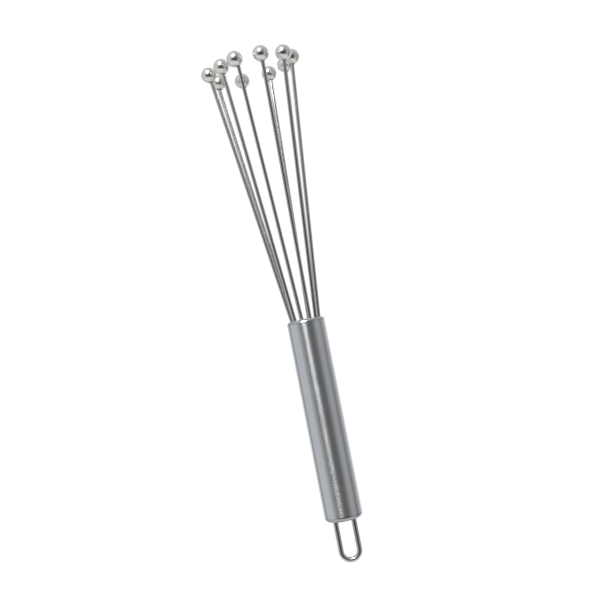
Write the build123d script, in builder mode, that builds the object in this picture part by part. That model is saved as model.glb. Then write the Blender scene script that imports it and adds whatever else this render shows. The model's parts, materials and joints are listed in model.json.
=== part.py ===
"""Ball whisk: a tube handle, ten straight spring wires that each carry a ball, and a hanging loop.

Millimetres. The origin is on the handle's axis, halfway along the handle. +Z runs up the
handle to the balls, -Z to the hanging loop, and the loop lies in the XZ plane.
"""

from build123d import *
from math import cos, radians, sin, sqrt, tan
import os

# ---- handle -------------------------------------------------------------------------------
handle_length = 98.0  # over both end caps
handle_diameter = 18.6
tube_wall = 0.7
head_edge_radius = 1.7  # rounding of the cap that the wires leave
tail_edge_radius = 2.4  # rounding of the cap that the loop leaves
head_crown = 0.4  # how far the head cap's face stands out in the middle
tail_crown = 0.2
cap_thickness = 1.0  # face of a cap
spigot_length = 4.0  # the part of a cap that sits inside the tube
spigot_wall = 0.8
head_fill = 16.0  # depth of the casting that holds the wires, from the cap's inside face
tail_fill = 16.0  # depth of the casting that holds the loop

# ---- wires and balls ----------------------------------------------------------------------
wire_count = 10
wire_diameter = 1.8
wire_edge_margin = 0.05  # face left between a wire and the head cap's rounded edge
wire_splay = 6.5  # how far each wire leans outward, in degrees
wire_reach = 127.0  # along a wire, from the head cap's face to the centre of its ball
wire_clearance = 0.03  # around a wire in the cap and in the casting, because it flexes there
first_wire_angle = -0.9  # from +X, in degrees

ball_diameter = 7.7
ball_bore_depth = 5.0  # along a wire, inside its ball
ball_bore_clearance = 0.02

# Wires and balls are fitted by hand, so each is a little off its even place. The lists run
# counterclockwise from +X, and sideways is counterclockwise too.
wire_place_error = [0, 1.4, 3.7, -0.7, 9.5, 0, 5.7, 4.3, 3.3, -3.3]  # degrees round the cap
wire_outward_error = [-1.4, -1.8, -0.3, 1.2, 2.1, 1.0, -1.2, -0.5, -0.8, -0.8]  # degrees of lean
wire_sideways_error = [-1.1, -0.6, -0.4, 0.7, -2.0, 0.3, -1.7, -1.5, -1.5, -0.5]  # degrees of lean
ball_outward_error = [0, -0.1, -0.05, 0, -0.8, 0.1, 0, 0.25, -0.1, 0]  # ball's centre off its wire
ball_sideways_error = [0, 0.1, 0.25, 0.1, -0.4, 0, 0, -0.95, -0.25, 0]

# ---- hanging loop -------------------------------------------------------------------------
loop_wire_diameter = 2.5
loop_leg_spacing = 8.9  # centre to centre of its two legs
loop_leg_length = 15.2  # straight leg below the tail cap's face
loop_root = 12.0  # straight leg held above that face
loop_clearance = 0.02

# ---- worked out ---------------------------------------------------------------------------
handle_radius = handle_diameter / 2
tube_bore_radius = handle_radius - tube_wall
spigot_bore_radius = tube_bore_radius - spigot_wall
head_face = handle_length / 2
tail_face = -handle_length / 2
tube_top = head_face - head_edge_radius
tube_bottom = tail_face + tail_edge_radius
ball_radius = ball_diameter / 2
wire_radius = wire_diameter / 2
wire_ring_radius = handle_radius - head_edge_radius - wire_edge_margin - wire_radius
wire_root = 0.75 * wire_ring_radius  # held below the cap's face: the roots draw together, and would meet
loop_bend_radius = loop_leg_spacing / 2


def error(errors, number):
    """A wire's entry in a list of errors. The list starts again where there are more wires."""
    return errors[number % len(errors)]


def wire_outward(number):
    """The level direction from the axis to a wire's exit."""
    angle = radians(first_wire_angle + number * 360 / wire_count + error(wire_place_error, number))
    return Vector(cos(angle), sin(angle), 0)


def wire_sideways(number):
    """The level direction round the cap, counterclockwise, at a wire's exit."""
    outward = wire_outward(number)
    return Vector(-outward.Y, outward.X, 0)


def wire_exit(number):
    """Where a wire comes out of the head cap: on its axis, level with the rim of the cap's face."""
    return wire_outward(number) * wire_ring_radius + Vector(0, 0, head_face)


def wire_direction(number):
    """The unit vector along a wire, from its exit to its ball."""
    out_slope = tan(radians(wire_splay + error(wire_outward_error, number)))
    side_slope = tan(radians(error(wire_sideways_error, number)))
    lean = wire_outward(number) * out_slope + wire_sideways(number) * side_slope
    return (lean + Vector(0, 0, 1)).normalized()


def ball_off_wire(number):
    """From a wire to its ball's centre, square to the wire."""
    direction = wire_direction(number)
    off = wire_outward(number) * error(ball_outward_error, number)
    off += wire_sideways(number) * error(ball_sideways_error, number)
    return off - direction * off.dot(direction)


def ball_centre(number):
    return wire_exit(number) + wire_direction(number) * wire_reach + ball_off_wire(number)


def bore_mouth(number):
    """Where the rim of a ball's bore ends, along the wire from the ball's centre."""
    rim = wire_radius + ball_bore_clearance + ball_off_wire(number).length
    return -sqrt(ball_radius**2 - rim**2)


def plane_along_wire(number, distance):
    """A plane square to a wire, this far along it from its exit."""
    direction = wire_direction(number)
    return Plane(wire_exit(number) + direction * distance, z_dir=direction)


def cap_profile(face, edge_radius, crown, inward):
    """Half section of an end cap. inward is -1 for the head cap and +1 for the tail cap."""
    seam = face + inward * edge_radius
    face_radius = handle_radius - edge_radius
    dome_radius = (face_radius**2 + crown**2) / (2 * crown)
    halfway_drop = dome_radius - sqrt(dome_radius**2 - (face_radius / 2) ** 2)
    spigot_end = seam + inward * spigot_length
    inside_face = face + inward * cap_thickness
    round_middle = Vector(face_radius, seam)
    with BuildLine() as outline:
        ThreePointArc(
            (0, face - inward * crown),
            (face_radius / 2, face - inward * (crown - halfway_drop)),
            (face_radius, face),
        )
        ThreePointArc(
            (face_radius, face),
            round_middle + Vector(edge_radius * sin(radians(45)), -inward * edge_radius * cos(radians(45))),
            (handle_radius, seam),
        )
        Polyline(
            (handle_radius, seam),
            (tube_bore_radius, seam),
            (tube_bore_radius, spigot_end),
            (spigot_bore_radius, spigot_end),
            (spigot_bore_radius, inside_face),
            (0, inside_face),
            (0, face - inward * crown),
        )
    return outline.line


def casting_profile(face, edge_radius, depth, inward):
    """Half section of the casting behind a cap, which fills the spigot and the tube beyond."""
    inside_face = face + inward * cap_thickness
    spigot_end = face + inward * (edge_radius + spigot_length)
    far_end = inside_face + inward * depth
    with BuildLine() as outline:
        Polyline(
            (0, inside_face),
            (spigot_bore_radius, inside_face),
            (spigot_bore_radius, spigot_end),
            (tube_bore_radius, spigot_end),
            (tube_bore_radius, far_end),
            (0, far_end),
            (0, inside_face),
        )
    return outline.line


# ---- what the wires and the loop's legs need clear, to be taken out of the caps and castings
with BuildPart() as wire_holes:
    for number in range(wire_count):
        with BuildSketch(plane_along_wire(number, -wire_root)):
            Circle(wire_radius + wire_clearance)
        extrude(amount=2 * wire_root)

with BuildPart() as loop_holes:
    with BuildSketch(Plane.XY.offset(tail_face + loop_root)):
        with GridLocations(loop_leg_spacing, 0, 2, 1):
            Circle(loop_wire_diameter / 2 + loop_clearance)
    extrude(amount=-2 * loop_root)

# ---- handle: a straight tube, closed by a cap at each end ---------------------------------
with BuildPart() as handle_tube:
    with BuildSketch(Plane.XY.offset(tube_bottom)):
        Circle(handle_radius)
        Circle(tube_bore_radius, mode=Mode.SUBTRACT)
    extrude(amount=tube_top - tube_bottom)

with BuildPart() as head_cap:
    with BuildSketch(Plane.XZ):
        with BuildLine():
            add(cap_profile(head_face, head_edge_radius, head_crown, -1))
        make_face()
    revolve(axis=Axis.Z)
    add(wire_holes.part, mode=Mode.SUBTRACT)

with BuildPart() as tail_cap:
    with BuildSketch(Plane.XZ):
        with BuildLine():
            add(cap_profile(tail_face, tail_edge_radius, tail_crown, 1))
        make_face()
    revolve(axis=Axis.Z)
    add(loop_holes.part, mode=Mode.SUBTRACT)

# ---- the castings inside the handle: they grip the roots of the wires and the loop --------
with BuildPart() as head_casting:
    with BuildSketch(Plane.XZ):
        with BuildLine():
            add(casting_profile(head_face, head_edge_radius, head_fill, -1))
        make_face()
    revolve(axis=Axis.Z)
    add(wire_holes.part, mode=Mode.SUBTRACT)

with BuildPart() as tail_casting:
    with BuildSketch(Plane.XZ):
        with BuildLine():
            add(casting_profile(tail_face, tail_edge_radius, tail_fill, 1))
        make_face()
    revolve(axis=Axis.Z)
    add(loop_holes.part, mode=Mode.SUBTRACT)

# ---- hanging loop: one wire bent into a U, with both legs held in the handle --------------
with BuildPart() as hanging_loop:
    with BuildLine(Plane.XZ):
        Polyline((-loop_bend_radius, tail_face + loop_root), (-loop_bend_radius, tail_face - loop_leg_length))
        ThreePointArc(
            (-loop_bend_radius, tail_face - loop_leg_length),
            (0, tail_face - loop_leg_length - loop_bend_radius),
            (loop_bend_radius, tail_face - loop_leg_length),
        )
        Line((loop_bend_radius, tail_face - loop_leg_length), (loop_bend_radius, tail_face + loop_root))
    with BuildSketch(Plane.XY.offset(tail_face + loop_root)):
        with Locations((-loop_bend_radius, 0)):
            Circle(loop_wire_diameter / 2)
    sweep()

os.makedirs("parts", exist_ok=True)
handle_parts = {
    "handle_tube": handle_tube,
    "head_cap": head_cap,
    "tail_cap": tail_cap,
    "head_casting": head_casting,
    "tail_casting": tail_casting,
    "hanging_loop": hanging_loop,
}
for name, piece in handle_parts.items():
    piece.part.label = name
    export_step(piece.part, f"parts/{name}.step")

# ---- ten wires, each with a ball pressed onto its tip -------------------------------------
# A ball's bore runs along its wire, and the wire stands on the bore's flat end.
for number in range(wire_count):
    bore_end = bore_mouth(number) + ball_bore_depth
    with BuildPart() as wire:
        with BuildSketch(plane_along_wire(number, -wire_root)):
            Circle(wire_radius)
        extrude(amount=wire_root + wire_reach + bore_end)
    wire.part.label = f"wire_{number + 1:02d}"
    export_step(wire.part, f"parts/{wire.part.label}.step")

    with BuildPart(Plane(ball_centre(number), z_dir=wire_direction(number))) as ball:
        Sphere(ball_radius)
        with BuildSketch(plane_along_wire(number, wire_reach + bore_end)):
            Circle(wire_radius + ball_bore_clearance)
        extrude(amount=-2 * ball_radius, mode=Mode.SUBTRACT)
    ball.part.label = f"ball_{number + 1:02d}"
    export_step(ball.part, f"parts/{ball.part.label}.step")
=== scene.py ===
"""Ball whisk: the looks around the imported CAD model. Metres, in the CAD frame: the handle's axis is Z,
its middle is the origin, the balls are up and the hanging loop is down."""

import json
import math

import bpy
from mathutils import Matrix, Vector


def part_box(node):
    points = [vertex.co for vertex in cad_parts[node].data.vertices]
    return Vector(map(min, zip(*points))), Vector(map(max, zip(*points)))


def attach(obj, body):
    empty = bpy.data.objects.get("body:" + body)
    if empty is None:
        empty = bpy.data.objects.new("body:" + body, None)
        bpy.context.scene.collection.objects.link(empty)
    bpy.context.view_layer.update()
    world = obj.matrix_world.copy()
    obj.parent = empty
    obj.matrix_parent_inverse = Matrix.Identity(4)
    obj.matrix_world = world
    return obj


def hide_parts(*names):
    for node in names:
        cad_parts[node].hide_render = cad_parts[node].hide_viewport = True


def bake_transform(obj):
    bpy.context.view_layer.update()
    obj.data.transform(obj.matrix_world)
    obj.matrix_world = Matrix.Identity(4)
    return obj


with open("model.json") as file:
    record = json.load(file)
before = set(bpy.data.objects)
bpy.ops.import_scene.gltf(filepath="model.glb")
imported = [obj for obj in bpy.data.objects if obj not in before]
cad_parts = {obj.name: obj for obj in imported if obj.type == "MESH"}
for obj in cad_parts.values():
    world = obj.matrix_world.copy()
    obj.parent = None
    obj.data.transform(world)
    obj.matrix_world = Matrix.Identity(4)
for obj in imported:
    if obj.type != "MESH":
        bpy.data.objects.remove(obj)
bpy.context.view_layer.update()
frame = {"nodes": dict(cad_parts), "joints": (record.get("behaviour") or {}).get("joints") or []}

MM = 0.001

# ---- sizes that the frame doesn't state, as they are in the part -----------------------------
WIRE_RADIUS = 0.9 * MM
HEAD_EDGE_RADIUS = 1.7 * MM
HEAD_CROWN = 0.4 * MM  # how far the head cap's face stands out in the middle
TAIL_EDGE_RADIUS = 2.4 * MM
TAIL_CROWN = 0.2 * MM
LOOP_WIRE_RADIUS = 1.25 * MM
LOOP_ROOT_SHOWN = 4.0 * MM  # how far the loop's legs are carried on inside the cap
WIRE_ROOT_SHOWN = 4.0 * MM  # how far each wire is carried on inside the head cap
WIRE_TIP_SHOWN = 1.5 * MM  # and inside its ball
BALL_MOUTH_GAP = 0.05 * MM  # round the wire where it enters its ball
BALL_MOUTH_FLARE = 0.4 * MM  # countersunk rim of that hole
BALL_MOUTH_DEPTH = 1.2 * MM  # how far in the hole's wall is shown

# ---- smoothness: sides go round a piece, rows and steps go along its profile ------------------
HANDLE_SIDES = 256
TUBE_ROWS = 24
EDGE_STEPS = 20
DOME_STEPS = 8
LOOP_SIDES = 40
LOOP_LEG_ROWS = 10
LOOP_BEND_ROWS = 48
WIRE_SIDES = 32
WIRE_ROWS = 64  # many, because the wire bends
BALL_SIDES = 72
BALL_ROWS = 48
STAGE_SIDES = 64
BACKDROP_STEPS = 16

# ---- tilts of a normal above level, on a turned profile ----------------------------------------
LEVEL = 0
QUARTER = math.pi / 2  # straight up
INWARD = math.pi  # level, towards the axis
COUNTERSUNK = math.pi * 1.25  # inward and down


# ---- meshes ----------------------------------------------------------------------------------
def mesh_object(name, vertices, faces, normals):
    """A smooth mesh whose shading normals are the exact ones of the shape."""
    mesh = bpy.data.meshes.new(name)
    mesh.from_pydata([tuple(v) for v in vertices], [], faces)
    mesh.update()
    for polygon in mesh.polygons:
        polygon.use_smooth = True
    mesh.normals_split_custom_set_from_vertices([tuple(n) for n in normals])
    piece = bpy.data.objects.new(name, mesh)
    bpy.context.scene.collection.objects.link(piece)
    return piece


def skin(rings):
    """Quads between rings of vertices, each ring closed on itself."""
    sides = len(rings[0])
    faces = []
    for lower, upper in zip(rings, rings[1:]):
        for i in range(sides):
            j = (i + 1) % sides
            faces.append((lower[i], lower[j], upper[j], upper[i]))
    return faces


def lathe(name, profile, sides, base=Vector((0, 0, 0)), direction=Vector((0, 0, 1))):
    """Turns a profile about a line. A profile point is (radius, height, tilt): tilt is the angle of
    its normal above level, in radians. A radius of 0 closes the end."""
    turn = Vector((0, 0, 1)).rotation_difference(direction).to_matrix()
    vertices, normals, rings = [], [], []
    for radius, height, tilt in profile:
        ring = []
        for i in range(sides):
            angle = 2 * math.pi * i / sides
            out = Vector((math.cos(angle), math.sin(angle), 0))
            if radius > 0 or i == 0:
                vertices.append(base + turn @ (out * radius + Vector((0, 0, height))))
                normals.append(turn @ (out * math.cos(tilt) + Vector((0, 0, math.sin(tilt)))))
            ring.append(len(vertices) - 1)
        rings.append(ring)
    faces = [tuple(dict.fromkeys(face)) for face in skin(rings)]
    return mesh_object(name, vertices, faces, normals)


def arc_profile(middle_radius, middle_height, radius, start, end, steps):
    """Profile points on an arc, from one normal tilt to another."""
    points = []
    for step in range(steps + 1):
        tilt = start + (end - start) * step / steps
        points.append(
            (middle_radius + radius * math.cos(tilt), middle_height + radius * math.sin(tilt), tilt)
        )
    return points


def straight_profile(radius, low, high, rows):
    """Profile points of a cylinder's side, from one height to another."""
    return [(radius, low + (high - low) * row / rows, LEVEL) for row in range(rows + 1)]


def swept_tube(name, path, radius, sides):
    """A round tube along points in the XZ plane. path holds (point, forward) pairs."""
    vertices, normals, rings = [], [], []
    across = Vector((0, 1, 0))
    for point, forward in path:
        side = forward.cross(across).normalized()
        ring = []
        for i in range(sides):
            angle = 2 * math.pi * i / sides
            out = across * math.cos(angle) + side * math.sin(angle)
            ring.append(len(vertices))
            vertices.append(point + out * radius)
            normals.append(out)
        rings.append(ring)
    return mesh_object(name, vertices, skin(rings), normals)


# ---- materials -------------------------------------------------------------------------------
class Nodes:
    """A material's node tree, with short ways to add and link nodes."""

    def __init__(self, name):
        self.material = bpy.data.materials.new(name)
        self.material.use_nodes = True
        self.tree = self.material.node_tree
        self.shader = self.tree.nodes["Principled BSDF"]

    def add(self, kind, **settings):
        node = self.tree.nodes.new(kind)
        for key, value in settings.items():
            setattr(node, key, value)
        return node

    def link(self, source, target):
        self.tree.links.new(source, target)

    def set(self, **values):
        for key, value in values.items():
            self.shader.inputs[key.replace("_", " ")].default_value = value

    def stretched(self, scale):
        """Object coordinates scaled by a different amount along each axis."""
        coordinates = self.add("ShaderNodeTexCoord")
        mapping = self.add("ShaderNodeMapping")
        mapping.inputs["Scale"].default_value = scale
        self.link(coordinates.outputs["Object"], mapping.inputs["Vector"])
        return mapping.outputs["Vector"]

    def noise(self, vector, scale, detail=2.0, roughness=0.5):
        node = self.add("ShaderNodeTexNoise")
        node.inputs["Scale"].default_value = scale
        node.inputs["Detail"].default_value = detail
        node.inputs["Roughness"].default_value = roughness
        self.link(vector, node.inputs["Vector"])
        return node.outputs["Fac"]

    def ranged(self, value, low, high, from_low=0.3, from_high=0.7):
        node = self.add("ShaderNodeMapRange")
        node.inputs["From Min"].default_value = from_low
        node.inputs["From Max"].default_value = from_high
        node.inputs["To Min"].default_value = low
        node.inputs["To Max"].default_value = high
        self.link(value, node.inputs["Value"])
        return node.outputs["Result"]

    def colour(self, value, dark, light):
        """Base colour from dark to light as the value goes from 0 to 1."""
        node = self.add("ShaderNodeMix", data_type="RGBA")
        node.inputs["A"].default_value = (*dark, 1)
        node.inputs["B"].default_value = (*light, 1)
        self.link(value, node.inputs["Factor"])
        self.link(node.outputs["Result"], self.shader.inputs["Base Color"])

    def finish(self, value, smooth, rough):
        """Roughness from smooth to rough as the value goes through a noise's usual range."""
        self.link(self.ranged(value, smooth, rough), self.shader.inputs["Roughness"])

    def relief(self, height, distance, strength=1.0):
        """Bumps in the shading, this far from lowest to highest."""
        node = self.add("ShaderNodeBump")
        node.inputs["Strength"].default_value = strength
        node.inputs["Distance"].default_value = distance
        self.link(height, node.inputs["Height"])
        self.link(node.outputs["Normal"], self.shader.inputs["Normal"])


def brushed_steel():
    """Steel brushed round the handle: fine rings, which blur reflections along the handle only."""
    m = Nodes("brushed_steel")
    m.set(Metallic=1.0, Anisotropic=1.0, Anisotropic_Rotation=0.25)
    tangent = m.add("ShaderNodeTangent", direction_type="RADIAL", axis="Z")
    m.link(tangent.outputs["Tangent"], m.shader.inputs["Tangent"])
    rings = m.noise(m.stretched((60, 60, 5200)), scale=1.0, detail=4.0, roughness=0.7)
    clouds = m.noise(m.stretched((1, 1, 1)), scale=130.0, detail=3.0)
    m.colour(rings, dark=(0.55, 0.565, 0.58), light=(0.63, 0.645, 0.66))
    m.finish(clouds, smooth=0.235, rough=0.26)
    m.relief(rings, distance=0.0012 * MM)
    return m.material


def polished_cap():
    """The rounded ends of the handle, spun smooth: clouded, with faint rings round the axis."""
    m = Nodes("polished_cap")
    m.set(Metallic=1.0)
    rings = m.noise(m.stretched((60, 60, 2600)), scale=1.0, detail=3.0, roughness=0.6)
    clouds = m.noise(m.stretched((1, 1, 1)), scale=260.0, detail=3.0)
    m.colour(rings, dark=(0.41, 0.43, 0.455), light=(0.47, 0.49, 0.515))
    m.finish(clouds, smooth=0.16, rough=0.22)
    m.relief(rings, distance=0.0006 * MM)
    return m.material


def polished_wire():
    """Drawn spring wire, polished: faint lines along it."""
    m = Nodes("polished_wire")
    m.set(Metallic=1.0)
    lines = m.noise(m.stretched((5200, 5200, 60)), scale=1.0, detail=3.0, roughness=0.6)
    patches = m.noise(m.stretched((1, 1, 0.3)), scale=420.0, detail=2.0)
    m.colour(lines, dark=(0.57, 0.55, 0.525), light=(0.65, 0.63, 0.605))
    m.finish(patches, smooth=0.12, rough=0.15)
    m.relief(lines, distance=0.0001 * MM)
    return m.material


def satin_loop():
    """The hanging loop's thicker wire, less polished."""
    m = Nodes("satin_loop")
    m.set(Metallic=1.0)
    lines = m.noise(m.stretched((1800, 1800, 160)), scale=1.0, detail=3.0, roughness=0.6)
    m.colour(lines, dark=(0.52, 0.53, 0.55), light=(0.60, 0.61, 0.63))
    m.finish(lines, smooth=0.20, rough=0.26)
    m.relief(lines, distance=0.0008 * MM)
    return m.material


def painted_shade_bore():
    """The unpolished inside of a ball's hole, painted dark for the shade that falls in it."""
    m = Nodes("painted_shade_bore")
    m.set(Metallic=1.0)
    bore_shade = m.noise(m.stretched((1, 1, 1)), scale=1500.0, detail=3.0)
    # painted shade: a near-black colour for the shade inside the hole
    m.colour(bore_shade, dark=(0.05, 0.045, 0.04), light=(0.13, 0.12, 0.11))
    m.finish(bore_shade, smooth=0.45, rough=0.65)
    return m.material


def polished_ball():
    """Mirror-polished steel ball, with the faint haze and hairlines that handling leaves."""
    m = Nodes("polished_ball")
    m.set(Metallic=1.0)
    haze = m.noise(m.stretched((1, 1, 1)), scale=700.0, detail=4.0, roughness=0.6)
    hairlines = m.noise(m.stretched((900, 900, 4200)), scale=1.0, detail=3.0)
    m.colour(haze, dark=(0.73, 0.715, 0.695), light=(0.79, 0.775, 0.755))
    m.finish(haze, smooth=0.15, rough=0.21)
    m.relief(hairlines, distance=0.0006 * MM)
    return m.material


def cast_resin():
    """The hidden filling in the handle's ends."""
    m = Nodes("cast_resin")
    m.set(Roughness=0.42)
    clouds = m.noise(m.stretched((1, 1, 1)), scale=260.0, detail=5.0)
    m.colour(clouds, dark=(0.24, 0.22, 0.19), light=(0.38, 0.36, 0.32))
    m.relief(clouds, distance=0.05 * MM, strength=0.4)
    return m.material


BRUSHED = brushed_steel()
CAP = polished_cap()
WIRE = polished_wire()
BALL = polished_ball()
LOOP = satin_loop()
SHADED_BORE = painted_shade_bore()
RESIN = cast_resin()


def dress(piece, material):
    """Gives a piece its material, in its one material slot."""
    piece.data.materials.clear()
    piece.data.materials.append(material)


# ---- handle ----------------------------------------------------------------------------------
tube_low, tube_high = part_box("handle_tube")
HANDLE_RADIUS = tube_high.x
head_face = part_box("head_cap")[1].z - HEAD_CROWN
tail_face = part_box("tail_cap")[0].z + TAIL_CROWN


def make_tube():
    profile = straight_profile(HANDLE_RADIUS, tube_low.z, tube_high.z, TUBE_ROWS)
    piece = lathe("tube_skin", profile, HANDLE_SIDES)
    dress(piece, BRUSHED)
    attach(piece, "handle")
    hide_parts("handle_tube")


def cap_profile(face, edge_radius, crown, up):
    """A cap from its seam, round its edge and over its domed face to the axis. up is 1 or -1."""
    face_radius = HANDLE_RADIUS - edge_radius
    dome_radius = (face_radius**2 + crown**2) / (2 * crown)
    dome_middle = face + up * (crown - dome_radius)
    rim_tilt = QUARTER - math.asin(face_radius / dome_radius)
    seam = face - up * edge_radius
    profile = arc_profile(face_radius, seam, edge_radius, LEVEL, up * rim_tilt, EDGE_STEPS)
    profile += arc_profile(0, dome_middle, dome_radius, up * rim_tilt, up * QUARTER, DOME_STEPS)[1:-1]
    profile.append((0, face + up * crown, up * QUARTER))
    return profile


def make_cap(name, node, profile):
    piece = lathe(name, profile, HANDLE_SIDES)
    dress(piece, CAP)
    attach(piece, "handle")
    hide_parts(node)


make_tube()
make_cap("head_cap_skin", "head_cap", cap_profile(head_face, HEAD_EDGE_RADIUS, HEAD_CROWN, 1))
tail_profile = cap_profile(tail_face, TAIL_EDGE_RADIUS, TAIL_CROWN, -1)
tail_profile.reverse()  # a profile has to rise, for its faces to look outward
make_cap("tail_cap_skin", "tail_cap", tail_profile)
for node in ("head_casting", "tail_casting"):
    dress(frame["nodes"][node], RESIN)


# ---- hanging loop ----------------------------------------------------------------------------
def make_loop():
    """The U of wire: down its left leg, round the bend and up its right leg."""
    low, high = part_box("hanging_loop")
    bend_radius = high.x - LOOP_WIRE_RADIUS
    bend_height = low.z + LOOP_WIRE_RADIUS + bend_radius
    top = tail_face + LOOP_ROOT_SHOWN
    path = []
    for row in range(LOOP_LEG_ROWS):
        height = top + (bend_height - top) * row / LOOP_LEG_ROWS
        path.append((Vector((-bend_radius, 0, height)), Vector((0, 0, -1))))
    for row in range(LOOP_BEND_ROWS + 1):
        angle = math.pi * row / LOOP_BEND_ROWS
        point = Vector((-bend_radius * math.cos(angle), 0, bend_height - bend_radius * math.sin(angle)))
        path.append((point, Vector((math.sin(angle), 0, -math.cos(angle)))))
    for row in range(LOOP_LEG_ROWS):
        height = bend_height + (top - bend_height) * (row + 1) / LOOP_LEG_ROWS
        path.append((Vector((bend_radius, 0, height)), Vector((0, 0, 1))))
    piece = swept_tube("loop_wire", path, LOOP_WIRE_RADIUS, LOOP_SIDES)
    dress(piece, LOOP)
    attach(piece, "handle")
    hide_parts("hanging_loop")


make_loop()


# ---- wires and balls -------------------------------------------------------------------------
def wire_line(number, exit_point):
    """The unit vector along a wire, from where it leaves the cap to the middle of its far end."""
    points = [vertex.co for vertex in frame["nodes"][f"wire_{number}"].data.vertices]
    middle_height = (min(p.z for p in points) + max(p.z for p in points)) / 2
    tip = [p for p in points if p.z > middle_height]
    tip_middle = Vector(
        [(min(p[axis] for p in tip) + max(p[axis] for p in tip)) / 2 for axis in range(3)]
    )
    return (tip_middle - exit_point).normalized()


def make_wire(number, exit_point, along, mouth_distance):
    """A straight wire from where it leaves the cap to the mouth of its ball's hole."""
    profile = straight_profile(
        WIRE_RADIUS, -WIRE_ROOT_SHOWN, mouth_distance + WIRE_TIP_SHOWN, WIRE_ROWS
    )
    piece = lathe(f"wire_skin_{number}", profile, WIRE_SIDES, exit_point, along)
    dress(piece, WIRE)
    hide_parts(f"wire_{number}")
    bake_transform(piece)


def make_ball(number, body, middle, radius, mouth_way, along):
    """A ball with a hole for its wire. mouth_way is the unit vector from its middle to the hole.
    The profile starts inside the hole, goes out over its rim and then round the ball."""
    hole = (WIRE_RADIUS + BALL_MOUTH_GAP) / abs(mouth_way.dot(along))
    rim = hole + BALL_MOUTH_FLARE
    mouth = math.sqrt(radius**2 - rim**2)
    bore = [
        (hole, -mouth + BALL_MOUTH_DEPTH, INWARD),
        (hole, -mouth + BALL_MOUTH_FLARE, INWARD),
        (rim, -mouth, COUNTERSUNK),
    ]
    profile = bore + arc_profile(0, 0, radius, -math.acos(rim / radius), QUARTER, BALL_ROWS)[:-1]
    profile.append((0, radius, QUARTER))
    piece = lathe(f"ball_skin_{number}", profile, BALL_SIDES, middle, -mouth_way)
    dress(piece, BALL)
    # the hole's wall gets the painted shade
    piece.data.materials.append(SHADED_BORE)
    bore_faces = (len(bore) - 1) * BALL_SIDES
    for polygon in piece.data.polygons[:bore_faces]:
        polygon.material_index = 1
    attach(piece, body)
    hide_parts(f"ball_{number}")


def make_tine(joint):
    """One wire and its ball, which may sit a little off the wire's line."""
    body = joint["child"]
    number = body[-2:]
    exit_point = Vector(joint["pos_m"])
    along = wire_line(number, exit_point)
    low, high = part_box(f"ball_{number}")
    radius = (high.x - low.x) / 2
    middle = Vector(((low.x + high.x) / 2, (low.y + high.y) / 2, high.z - radius))
    reach = (middle - exit_point).dot(along)
    off = middle - exit_point - along * reach
    mouth_distance = reach - math.sqrt(radius**2 - off.length_squared)
    mouth_way = (exit_point + along * mouth_distance - middle).normalized()
    make_wire(number, exit_point, along, mouth_distance)
    make_ball(number, body, middle, radius, mouth_way, along)


for joint in frame["joints"]:
    make_tine(joint)


# ---- camera: near the height of the handle's head, rolled so that the whisk leans left ---------
CAMERA_PLACE = (-0.7 * MM, -490.1 * MM, 41.5 * MM)
CAMERA_TILT = 2.0  # degrees, upward
CAMERA_ROLL = -11.06  # degrees
CAMERA_LENS = 60.66  # this and the sensor are in millimetres
CAMERA_SENSOR = 36.0

camera_data = bpy.data.cameras.new("camera")
camera_data.lens = CAMERA_LENS
camera_data.sensor_width = CAMERA_SENSOR
camera_data.clip_start = 0.01
camera = bpy.data.objects.new("camera", camera_data)
camera_turn = Matrix.Rotation(math.radians(90 + CAMERA_TILT), 4, "X") @ Matrix.Rotation(
    math.radians(CAMERA_ROLL), 4, "Z"
)
camera.matrix_world = Matrix.Translation(CAMERA_PLACE) @ camera_turn
bpy.context.scene.collection.objects.link(camera)
bpy.context.scene.camera = camera


# ---- studio: what the metal reflects ---------------------------------------------------------
# Directions are in degrees from the whisk. Azimuth 0 is the camera's, and it grows to the camera's
# right; elevation is up. Both are level with the camera's frame, so they share its roll. A later
# patch of the room covers an earlier one.
STUDIO_BASE = (0.55, 0.55, 0.56)
BEHIND = (1.0, 1.02, 1.05)  # the bright backdrop behind the whisk
# Where the backdrop's light starts and where it is full: cosines of the angle from the camera's
# direction.
BEHIND_EDGE = (-0.5, -0.95)
ROOM = [
    # place, half size, width of the soft edges, colour
    ((0, 75), (180, 42), (1, 50), (0.66, 0.66, 0.66)),  # ceiling
    ((-88, 8), (30, 60), (30, 60), (0.735, 0.745, 0.765)),  # pale wall on the left
    ((50, 42), (38, 30), (50, 30), (0.46, 0.46, 0.47)),  # darker wall on the right
    ((95, -5), (16, 34), (26, 30), (0.36, 0.37, 0.38)),  # its corner
    ((99, -17), (2.6, 23), (2, 8), (0.03, 0.032, 0.035)),  # gap in that corner
    ((-86, 0), (5, 14), (6, 12), (0.60, 0.70, 0.82)),  # window
    ((-125, -5), (9, 40), (16, 30), (0.42, 0.42, 0.42)),  # gap beside the pale wall
    ((0, -61), (120, 29), (40, 3), (0.82, 0.81, 0.795)),  # table
    ((22, 16), (22, 16), (30, 22), (0.17, 0.17, 0.17)),  # dark doorway on the right
    ((3, -12), (44, 21), (50, 8), (0.071, 0.069, 0.066)),  # dark room behind the camera
]


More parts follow.
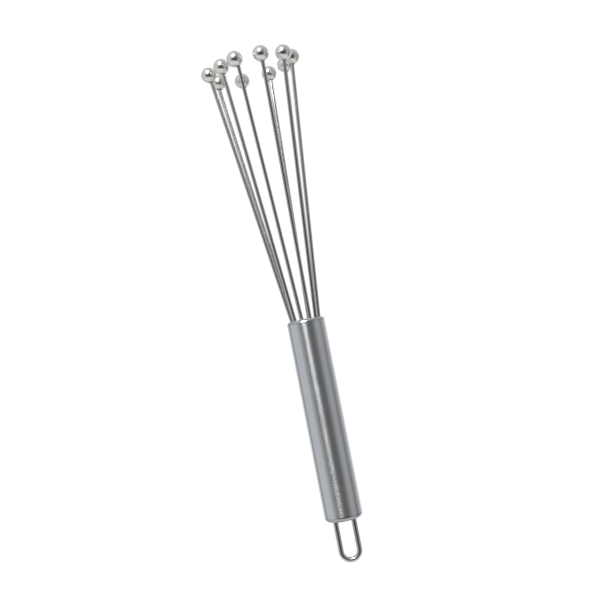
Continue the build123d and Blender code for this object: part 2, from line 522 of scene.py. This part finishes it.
def studio():
    world = bpy.data.worlds.new("studio")
    bpy.context.scene.world = world
    world.use_nodes = True
    tree = world.node_tree
    tree.nodes.clear()
    nodes, links = tree.nodes, tree.links

    def add(kind, **settings):
        node = nodes.new(kind)
        for key, value in settings.items():
            setattr(node, key, value)
        return node

    def feed(socket, value):
        if isinstance(value, bpy.types.NodeSocket):
            links.new(value, socket)
        else:
            socket.default_value = value

    def math_node(operation, *values):
        node = add("ShaderNodeMath", operation=operation)
        for socket, value in zip(node.inputs, values):
            feed(socket, value)
        return node.outputs[0]

    direction = add("ShaderNodeTexCoord").outputs["Generated"]

    def along(axis):
        """How far the direction goes along an axis, which is given in the camera's frame."""
        dot = add("ShaderNodeVectorMath", operation="DOT_PRODUCT")
        links.new(direction, dot.inputs[0])
        dot.inputs[1].default_value = camera_turn.to_3x3() @ Vector(axis)
        return dot.outputs["Value"]

    def smooth(value, low, high):
        node = add("ShaderNodeMapRange", interpolation_type="SMOOTHSTEP")
        node.inputs["From Min"].default_value = low
        node.inputs["From Max"].default_value = high
        links.new(value, node.inputs["Value"])
        return node.outputs["Result"]

    def mixed(mask, below, colour):
        node = add("ShaderNodeMix", data_type="RGBA")
        links.new(mask, node.inputs["Factor"])
        feed(node.inputs["A"], (*below, 1) if isinstance(below, tuple) else below)
        node.inputs["B"].default_value = (*colour, 1)
        return node.outputs["Result"]

    def within(value, half, soft):
        """1 inside a half size and 0 outside it, with a soft edge."""
        return smooth(math_node("ABSOLUTE", value), half + soft / 2, half - soft / 2)

    right, up, back = along((1, 0, 0)), along((0, 1, 0)), along((0, 0, 1))
    azimuth = math_node("DEGREES", math_node("ARCTAN2", right, back))
    elevation = math_node("DEGREES", math_node("ARCSINE", up))

    def patch(below, place, half, soft, colour):
        """A soft-edged stretch of wall between two azimuths and two elevations."""
        across = within(math_node("SUBTRACT", azimuth, place[0]), half[0], soft[0])
        upward = within(math_node("SUBTRACT", elevation, place[1]), half[1], soft[1])
        return mixed(math_node("MULTIPLY", across, upward), below, colour)

    light = mixed(smooth(back, *BEHIND_EDGE), STUDIO_BASE, BEHIND)
    for place, half, soft, colour in ROOM:
        light = patch(light, place, half, soft, colour)
    background = add("ShaderNodeBackground")
    links.new(light, background.inputs["Color"])
    output = add("ShaderNodeOutputWorld")
    links.new(background.outputs["Background"], output.inputs["Surface"])


studio()


# ---- key light: a softbox in front of the balls, up and to the left --------------------------
KEY_PLACE = (-25, 41)  # azimuth and elevation, as in the studio
KEY_DISTANCE = 1000 * MM
KEY_HALF = (210 * MM, 340 * MM)  # half its width and half its height
KEY_SOFT = 0.25  # share of each half size over which the edge fades
KEY_STRENGTH = 16.0


def key_light():
    """A glowing panel with soft edges, turned about the camera's axes to face the balls."""
    azimuth, elevation = (math.radians(angle) for angle in KEY_PLACE)
    turn = Matrix.Rotation(azimuth, 4, "Y") @ Matrix.Rotation(-elevation, 4, "X")
    balls = Vector((0, 0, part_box("ball_01")[0].z))
    centre = balls + (camera_turn @ turn).to_3x3() @ Vector((0, 0, KEY_DISTANCE))
    corners = [(x * KEY_HALF[0], y * KEY_HALF[1], 0) for x, y in ((-1, -1), (1, -1), (1, 1), (-1, 1))]
    panel = mesh_object("key_panel", corners, [(0, 1, 2, 3)], [(0, 0, 1)] * 4)
    panel.matrix_world = Matrix.Translation(centre) @ camera_turn @ turn

    m = Nodes("key_glow")
    split = m.add("ShaderNodeSeparateXYZ")
    m.link(m.add("ShaderNodeTexCoord").outputs["Object"], split.inputs["Vector"])
    glow = m.add("ShaderNodeEmission")
    glow.inputs["Strength"].default_value = KEY_STRENGTH
    surface = glow.outputs["Emission"]
    for axis, half in zip("XY", KEY_HALF):
        distance = m.add("ShaderNodeMath", operation="ABSOLUTE")
        m.link(split.outputs[axis], distance.inputs[0])
        fade = m.ranged(distance.outputs[0], 1, 0, half * (1 - KEY_SOFT), half)
        mix = m.add("ShaderNodeMixShader")
        m.link(fade, mix.inputs["Fac"])
        m.link(m.add("ShaderNodeBsdfTransparent").outputs["BSDF"], mix.inputs[1])
        m.link(surface, mix.inputs[2])
        surface = mix.outputs["Shader"]
    m.link(surface, m.tree.nodes["Material Output"].inputs["Surface"])
    panel.data.materials.append(m.material)
    panel.visible_camera = False
    panel.visible_shadow = False


key_light()


# ---- a plain white stage, seen by the camera only --------------------------------------------
STAGE_RADIUS = 4.0
FLOOR_DROP = 0.3  # from the handle's lower end to the floor


def make_stage():
    """A round floor and a dome over it, both of the same even white."""
    material = bpy.data.materials.new("stage_white")
    material.use_nodes = True
    tree = material.node_tree
    tree.nodes.clear()
    glow = tree.nodes.new("ShaderNodeEmission")
    glow.inputs["Color"].default_value = (1, 1, 1, 1)
    output = tree.nodes.new("ShaderNodeOutputMaterial")
    tree.links.new(glow.outputs["Emission"], output.inputs["Surface"])
    floor_height = tail_face - FLOOR_DROP
    floor = [(STAGE_RADIUS, floor_height, QUARTER), (0, floor_height, QUARTER)]
    backdrop = arc_profile(0, floor_height, STAGE_RADIUS, LEVEL, QUARTER, BACKDROP_STEPS)[:-1]
    backdrop.append((0, floor_height + STAGE_RADIUS, QUARTER))
    for name, profile in (("floor", floor), ("backdrop", backdrop)):
        piece = lathe(name, profile, STAGE_SIDES)
        piece.data.materials.append(material)
        piece.visible_glossy = False
        piece.visible_diffuse = False
        piece.visible_shadow = False


make_stage()
bpy.context.scene.view_settings.view_transform = "Standard"
